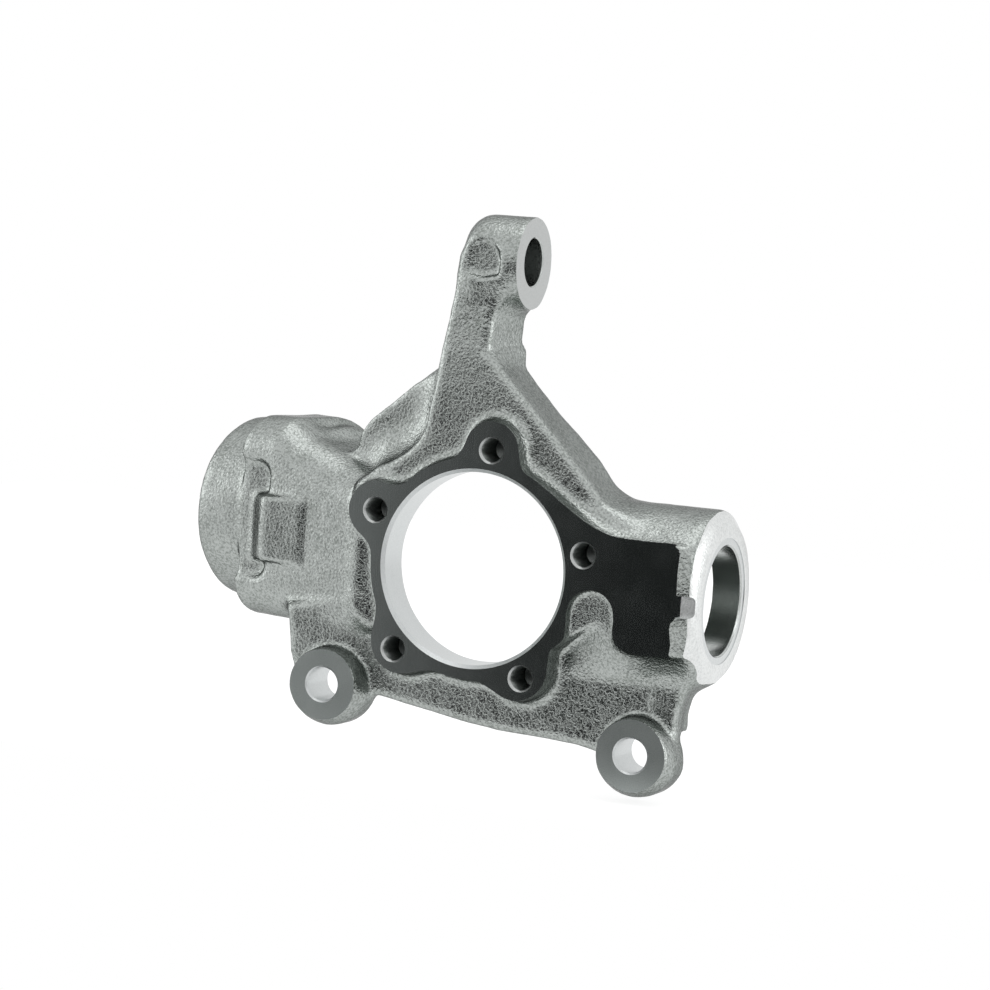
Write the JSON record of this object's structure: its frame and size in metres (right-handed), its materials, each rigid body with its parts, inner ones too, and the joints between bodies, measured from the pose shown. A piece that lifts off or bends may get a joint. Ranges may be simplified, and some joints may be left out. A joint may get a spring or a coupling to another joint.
{
  "type": "steering knuckle",
  "caption": "One-piece cast iron steering knuckle: a hub ring with bolt lobes, a steering arm with an eye, a strut socket, a lower joint boss and two caliper lugs.",
  "frame": {"origin": "on the axis of the hub bore, in the plane of the milled outboard face", "axes": "+Y runs inboard along the wheel's axis, -Y out of the milled face; +X points to the lower joint's boss; +Z points to the steering arm's eye"},
  "size_m": [0.2686, 0.1254, 0.2562],
  "materials": {
    "iron": "as cast, sandy, with milled faces and bored seats"
  },
  "bodies": {
    "root": {"knuckle": "iron"}
  },
  "joints": []
}
